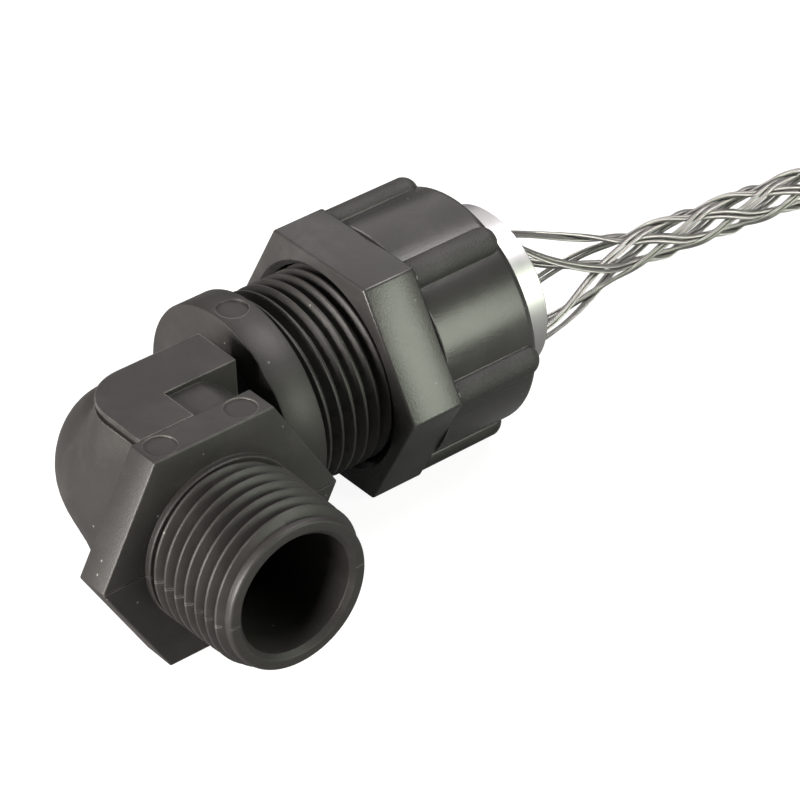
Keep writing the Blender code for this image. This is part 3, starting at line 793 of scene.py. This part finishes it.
RIB_BLEND = (0.00005, 0.0003)  # heights over the barrel from which a rib is rough, and wholly so
RIBS_FROM = 0.0001           # past the hexagon's end
STEEL_TONES = (0.42, 0.41, 0.395, 1), (0.70, 0.69, 0.67, 1)
STEEL_SCALE = 900
STEEL_DETAIL = 3
STEEL_ROUGHNESS = 0.28
# Painted shade: the ropes' colour darkens where their surface is less open
CREVICE_SHADE_REACH = 0.0003
CREVICE_SHADE_RAYS = 8
CREVICE_SHADE_RANGE = (0.35, 0.85, 0.25)  # of the openness, and the least share of the tone: painted shade in the crevices
RING_TONES = (0.58, 0.58, 0.59, 1), (0.68, 0.68, 0.68, 1)
RING_ROUGHNESS = (0.36, 0.46)
RING_SCRATCHES = (9000, 250, 250)
SCRATCH_DETAIL = 4
SCRATCH_STRENGTH = 0.10
SCRATCH_DEPTH = 0.00002

# Colour, roughness, colour of the paler edges (rubbed wear and painted highlight) and its strength,
# and the moulded surface's own values
ELBOW_LOOK = ((0.025, 0.0235, 0.022), 0.46, (0.26, 0.25, 0.235), 0.6,
              {"Grain Size": 0.00016, "Grain Height": 0.5, "Specks": 0.5, "Mottle": 0.5})
NUT_LOOK = ((0.036, 0.035, 0.034), 0.25, (0.36, 0.36, 0.35), 0.6,
            {"Grain Size": 0.00024, "Grain Height": 0.22, "Specks": 0.2, "Mottle": 0.4})
RUBBER_LOOK = ((0.02, 0.02, 0.02), 0.75, (0.05, 0.05, 0.05), 0.2,
               {"Grain Size": 0.0003, "Grain Height": 0.4, "Specks": 0.1, "Mottle": 0.3})
WASHER_LOOK = ((0.72, 0.70, 0.66), 0.45, (0.85, 0.84, 0.80), 0.2,
               {"Grain Size": 0.0003, "Grain Height": 0.2, "Specks": 0.0, "Mottle": 0.2})


def feed(tree, socket, value):
    """Links an input to the output of another node, or gives it a plain value."""
    if isinstance(value, bpy.types.NodeSocket):
        tree.links.new(value, socket)
    else:
        socket.default_value = value


def add(tree, kind, **values):
    """A new shader node, its inputs fed by their names, with _ for a space."""
    node = tree.nodes.new("ShaderNode" + kind)
    for socket, value in values.items():
        feed(tree, node.inputs[socket.replace("_", " ")], value)
    return node


def noise(tree, place, scale, detail, **values):
    return add(tree, "TexNoise", Vector=place, Scale=scale, Detail=detail, **values).outputs["Fac"]


def reckon(tree, operation, *values):
    """The result of a Math node."""
    node = tree.nodes.new("ShaderNodeMath")
    node.operation = operation
    for socket, value in zip(node.inputs, values):
        feed(tree, socket, value)
    return node.outputs[0]


def ranged(tree, value, low, high, to_low=0.0, to_high=1.0):
    """A value whose range from low to high becomes the range from to_low to to_high."""
    return add(tree, "MapRange", Value=value, From_Min=low, From_Max=high,
               To_Min=to_low, To_Max=to_high).outputs["Result"]


def scaled(tree, color, share):
    node = tree.nodes.new("ShaderNodeVectorMath")
    node.operation = "SCALE"
    feed(tree, node.inputs[0], color)
    feed(tree, node.inputs["Scale"], share)
    return node.outputs["Vector"]


def mixed(tree, share, first, second, kind="RGBA"):
    node = tree.nodes.new("ShaderNodeMix")
    node.data_type = kind
    for socket, value in (("Factor", share), ("A", first), ("B", second)):
        feed(tree, node.inputs[socket], value)
    return node.outputs["Result"]


def occlusion(tree, reach, rays, inside=False):
    """How open the surface is within a reach: outside it, or inside it to find its outer edges."""
    node = add(tree, "AmbientOcclusion", Distance=reach)
    node.samples = rays
    node.inside = node.only_local = inside
    return node.outputs["AO"]


def moulded_surface_group():
    """Moulded grain, mottling, scuffs and pale specks, and a mask of the outer edges, which is
    partly rubbed wear and partly painted highlight where the edges catch light.
    """
    group = bpy.data.node_groups.new("moulded_surface", "ShaderNodeTree")
    for socket, kind, default in (("Color", "Color", (0.05, 0.05, 0.05, 1)),
                                  ("Grain Size", "Float", 0.0002), ("Grain Height", "Float", 0.1),
                                  ("Specks", "Float", 0.5), ("Mottle", "Float", 0.2)):
        made = group.interface.new_socket(socket, in_out="INPUT", socket_type="NodeSocket" + kind)
        made.default_value = default
    for socket, kind in (("Color", "Color"), ("Height", "Float"), ("Wear And Highlight", "Float")):
        group.interface.new_socket(socket, in_out="OUTPUT", socket_type="NodeSocket" + kind)
    given = group.nodes.new("NodeGroupInput").outputs
    out = group.nodes.new("NodeGroupOutput").inputs
    place = add(group, "TexCoord").outputs["Object"]

    grain = noise(group, place, reckon(group, "DIVIDE", 1.0, given["Grain Size"]),
                  GRAIN_DETAIL)
    feed(group, out["Height"], reckon(group, "MULTIPLY", grain, given["Grain Height"]))

    mottle = noise(group, place, MOTTLE_SCALE, MOTTLE_DETAIL)
    scuffs = noise(group, place, SCUFF_SCALE, SCUFF_DETAIL,
                   Roughness=SCUFF_ROUGHNESS, Distortion=SCUFF_DISTORTION)
    uneven = reckon(group, "ADD", ranged(group, mottle, *MOTTLE_RANGE),
                    ranged(group, scuffs, *SCUFF_RANGE))
    uneven = mixed(group, given["Mottle"], 1.0, uneven, "FLOAT")

    cells = add(group, "TexVoronoi", Vector=place, Scale=SPECK_SCALE).outputs
    speck = reckon(group, "MULTIPLY", ranged(group, cells["Distance"], *SPECK_SIZE),
                   reckon(group, "GREATER_THAN", cells["Color"], SPECKS_FROM))
    speck = reckon(group, "MULTIPLY", speck, given["Specks"])
    feed(group, out["Color"],
         mixed(group, speck, scaled(group, given["Color"], uneven), SPECK_COLOR))

    # painted highlight on convex edges, found by looking inwards, broken up by noise; partly it
    # stands for rubbed wear
    edge = ranged(group, occlusion(group, WEAR_AND_GLINT_REACH, WEAR_AND_GLINT_RAYS, inside=True), *WEAR_AND_GLINT_RANGE)
    rubbed_and_lit = ranged(group, mottle, *RUBBED_AND_LIT_RANGE)
    feed(group, out["Wear And Highlight"], reckon(group, "MULTIPLY", edge, rubbed_and_lit))
    return group


def start_material(name):
    made = bpy.data.materials.new(name)
    made.use_nodes = True
    return made, made.node_tree, made.node_tree.nodes["Principled BSDF"].inputs


def moulded_nylon(name, surface, look):
    """Moulded plastic: the shared surface, paler edges that are partly rubbed wear and partly
    painted highlight, and softened sharp corners.
    """
    color, roughness, wear_and_highlight_color, edge, values = look
    made, tree, shader = start_material(name)
    skin = tree.nodes.new("ShaderNodeGroup")
    skin.node_tree = surface
    for socket, value in {"Color": (*color, 1), **values}.items():
        feed(tree, skin.inputs[socket], value)
    # the paler edge colour is partly wear and partly a painted highlight
    worn_and_lit = reckon(tree, "MULTIPLY", skin.outputs["Wear And Highlight"], edge)
    feed(tree, shader["Base Color"], mixed(tree, worn_and_lit, skin.outputs["Color"], (*wear_and_highlight_color, 1)))
    soft = add(tree, "Bevel", Radius=EDGE_ROUNDING)
    soft.samples = EDGE_RAYS
    bump = add(tree, "Bump", Strength=GRAIN_STRENGTH, Distance=GRAIN_DEPTH,
               Normal=soft.outputs["Normal"], Height=skin.outputs["Height"])
    feed(tree, shader["Normal"], bump.outputs["Normal"])
    feed(tree, shader["Roughness"], roughness)
    return made


def roughen_ribs(made):
    """The nut's ribs are moulded rough and matt, and its barrel and hexagon are polished."""
    tree = made.node_tree
    roughness = tree.nodes["Principled BSDF"].inputs["Roughness"]
    grain = next(node for node in tree.nodes if node.type == "GROUP").inputs["Grain Height"]
    place = add(tree, "TexCoord").outputs["Object"]
    outward = add(tree, "Mapping", Vector=place, Scale=(0, 1, 1),
                  Location=(0, -CROSSING.y, -CROSSING.z))
    radius = tree.nodes.new("ShaderNodeVectorMath")
    radius.operation = "LENGTH"
    feed(tree, radius.inputs[0], outward.outputs["Vector"])
    proud = ranged(tree, radius.outputs["Value"], *(BARREL_RADIUS + rise for rise in RIB_BLEND))
    x = add(tree, "SeparateXYZ", Vector=place).outputs["X"]
    past_hexagon = reckon(tree, "GREATER_THAN", x, CROSSING.x + HEX_END + RIBS_FROM)
    rib = reckon(tree, "MULTIPLY", proud, past_hexagon)
    for socket, value in ((roughness, RIB_ROUGHNESS), (grain, RIB_GRAIN)):
        feed(tree, socket, ranged(tree, rib, 0.0, 1.0, socket.default_value, value))
    return made


def rope_steel():
    """Bright wire, with painted shade darkening the crevices between the wires and where ropes
    touch.
    """
    made, tree, shader = start_material("rope_steel")
    place = add(tree, "TexCoord").outputs["Object"]
    tone = mixed(tree, noise(tree, place, STEEL_SCALE, STEEL_DETAIL), *STEEL_TONES)
    # painted shade: less open places, between wires and where ropes touch, get a darker colour
    painted_crevice_shade = ranged(tree, occlusion(tree, CREVICE_SHADE_REACH, CREVICE_SHADE_RAYS), *CREVICE_SHADE_RANGE)
    feed(tree, shader["Base Color"], scaled(tree, tone, painted_crevice_shade))
    feed(tree, shader["Metallic"], 1.0)
    feed(tree, shader["Roughness"], STEEL_ROUGHNESS)
    return made


def ring_aluminium():
    """Drawn aluminium: fine scratches round the ring."""
    made, tree, shader = start_material("ring_aluminium")
    place = add(tree, "TexCoord").outputs["Object"]
    stretched = add(tree, "Mapping", Vector=place, Scale=RING_SCRATCHES).outputs["Vector"]
    scratches = noise(tree, stretched, 1.0, SCRATCH_DETAIL)
    feed(tree, shader["Base Color"], mixed(tree, scratches, *RING_TONES))
    feed(tree, shader["Roughness"], ranged(tree, scratches, 0.0, 1.0, *RING_ROUGHNESS))
    bump = add(tree, "Bump", Strength=SCRATCH_STRENGTH, Distance=SCRATCH_DEPTH, Height=scratches)
    feed(tree, shader["Normal"], bump.outputs["Normal"])
    feed(tree, shader["Metallic"], 1.0)
    return made


# Stage

FLOOR_SIZE = 6
FLOOR_PLACE = (0, 0, -0.0002)
FLOOR_COLOR = (0.25, 0.25, 0.25, 1)
FLOOR_ROUGHNESS = 0.9
FLOOR_GLOW = 0.92            # so that the camera sees the floor white
FLOOR_GLOW_MIRRORED = 0.05
AMBIENT = 0.07
LIGHTS_AIM = (0.03, 0, 0)    # from the crossing of the bores
LIGHTS = (                   # name, place from the aim, size, watts and colour
    ("left_window", (-0.82, -0.02, 0.24), (0.5, 0.4), 18.5, (1.0, 0.95, 0.91)),
    ("overhead", (0.42, -0.08, 0.80), (0.45, 0.40), 5.0, (1, 0.95, 0.96)),
    ("back_panel", (0.60, 0.60, 0.62), (0.9, 0.8), 2.1, (1, 0.96, 0.95)),
    ("front_strip", (0.44, -0.76, 0.24), (0.42, 0.42), 4.2, (0.93, 1.0, 0.83)))


def make_stage():
    deselect()
    bpy.ops.mesh.primitive_plane_add(size=FLOOR_SIZE, location=FLOOR_PLACE)
    floor = bpy.context.object
    floor.name = "floor"
    made, tree, shader = start_material("floor_white")
    feed(tree, shader["Base Color"], FLOOR_COLOR)
    feed(tree, shader["Roughness"], FLOOR_ROUGHNESS)
    rays = add(tree, "LightPath").outputs
    mirrored = reckon(tree, "MULTIPLY", rays["Is Glossy Ray"], FLOOR_GLOW_MIRRORED)
    feed(tree, shader["Emission Color"], (1, 1, 1, 1))
    feed(tree, shader["Emission Strength"],
         reckon(tree, "MULTIPLY_ADD", rays["Is Camera Ray"], FLOOR_GLOW, mirrored))
    floor.data.materials.append(made)


def area(name, place, size, watts, color):
    data = bpy.data.lights.new(name, "AREA")
    data.shape = "RECTANGLE"
    data.size, data.size_y = size
    data.energy = watts
    data.color = color
    lamp = bpy.data.objects.new(name, data)
    lamp.location = CROSSING + Vector(LIGHTS_AIM) + Vector(place)
    lamp.rotation_euler = (-Vector(place)).to_track_quat("-Z", "Y").to_euler()
    bpy.context.scene.collection.objects.link(lamp)


def make_lights():
    world = bpy.data.worlds.new("studio")
    bpy.context.scene.world = world
    world.use_nodes = True
    background = world.node_tree.nodes["Background"].inputs
    seen = add(world.node_tree, "LightPath").outputs["Is Camera Ray"]
    feed(world.node_tree, background["Strength"],
         ranged(world.node_tree, seen, 0.0, 1.0, AMBIENT, 1.0))
    feed(world.node_tree, background["Color"], (1, 1, 1, 1))
    for light in LIGHTS:
        area(*light)


CAMERA_PLACE = (-0.21038, -0.32908, 0.28057)  # from the crossing of the bores
CAMERA_AZIMUTH = radians(37.38)
CAMERA_ELEVATION = radians(35.09)
CAMERA_ROLL = radians(-2.20)
CAMERA_LENS = 185.67
SENSOR_WIDTH = 36
NEAREST = 0.02


def make_camera():
    azimuth, elevation, roll = CAMERA_AZIMUTH, CAMERA_ELEVATION, CAMERA_ROLL
    ahead = Vector((sin(azimuth) * cos(elevation), cos(azimuth) * cos(elevation), -sin(elevation)))
    level = Vector((cos(azimuth), -sin(azimuth), 0))
    above = level.cross(ahead)
    right = cos(roll) * level + sin(roll) * above
    up = -sin(roll) * level + cos(roll) * above
    data = bpy.data.cameras.new("camera")
    data.lens = CAMERA_LENS
    data.sensor_width = SENSOR_WIDTH
    data.clip_start = NEAREST
    camera = bpy.data.objects.new("camera", data)
    turn = Matrix((right, up, -ahead)).transposed().to_4x4()
    camera.matrix_world = Matrix.Translation(CROSSING + Vector(CAMERA_PLACE)) @ turn
    bpy.context.scene.collection.objects.link(camera)
    bpy.context.scene.camera = camera


make_camera()
make_stage()
make_lights()
surface = moulded_surface_group()
make_elbow(moulded_nylon("glass_filled_nylon", surface, ELBOW_LOOK))
make_nut(roughen_ribs(moulded_nylon("polished_nylon", surface, NUT_LOOK)))
make_grommet(moulded_nylon("grommet_rubber", surface, RUBBER_LOOK))
make_washer(moulded_nylon("washer_nylon", surface, WASHER_LOOK))
make_ring(ring_aluminium())
make_grip(rope_steel())

bpy.context.scene.view_settings.view_transform = "Standard"
